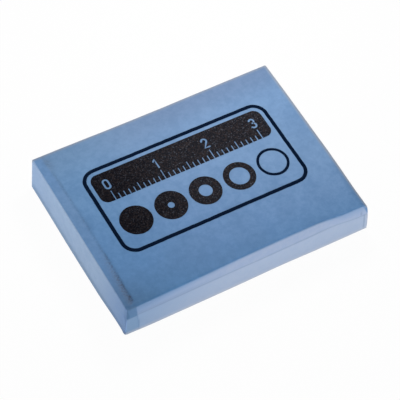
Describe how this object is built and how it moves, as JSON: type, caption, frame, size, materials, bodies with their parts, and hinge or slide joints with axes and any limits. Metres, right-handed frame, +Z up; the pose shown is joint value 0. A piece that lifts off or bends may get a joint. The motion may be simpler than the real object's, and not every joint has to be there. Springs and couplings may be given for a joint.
{
  "type": "block eraser",
  "caption": "Flat rectangular soft rubber eraser with one rounded long shoulder, a creased end band, a leaning far end and a dark scale and tone-disc print on its top face.",
  "frame": {"origin": "middle of the underside of the block", "axes": "+X along the block's length towards its leaning end, +Y across the block from its shouldered front side to its back, +Z up through its thickness towards the printed face"},
  "size_m": [0.0499, 0.035, 0.0084],
  "materials": {
    "blue_rubber": "matte, slightly waxy pale blue eraser rubber with faint mottling",
    "print_ink": "near-black navy ink, slightly mottled towards brown in its solid areas"
  },
  "bodies": {
    "root": {"eraser_block": "blue_rubber", "label_print": "print_ink"}
  },
  "joints": []
}
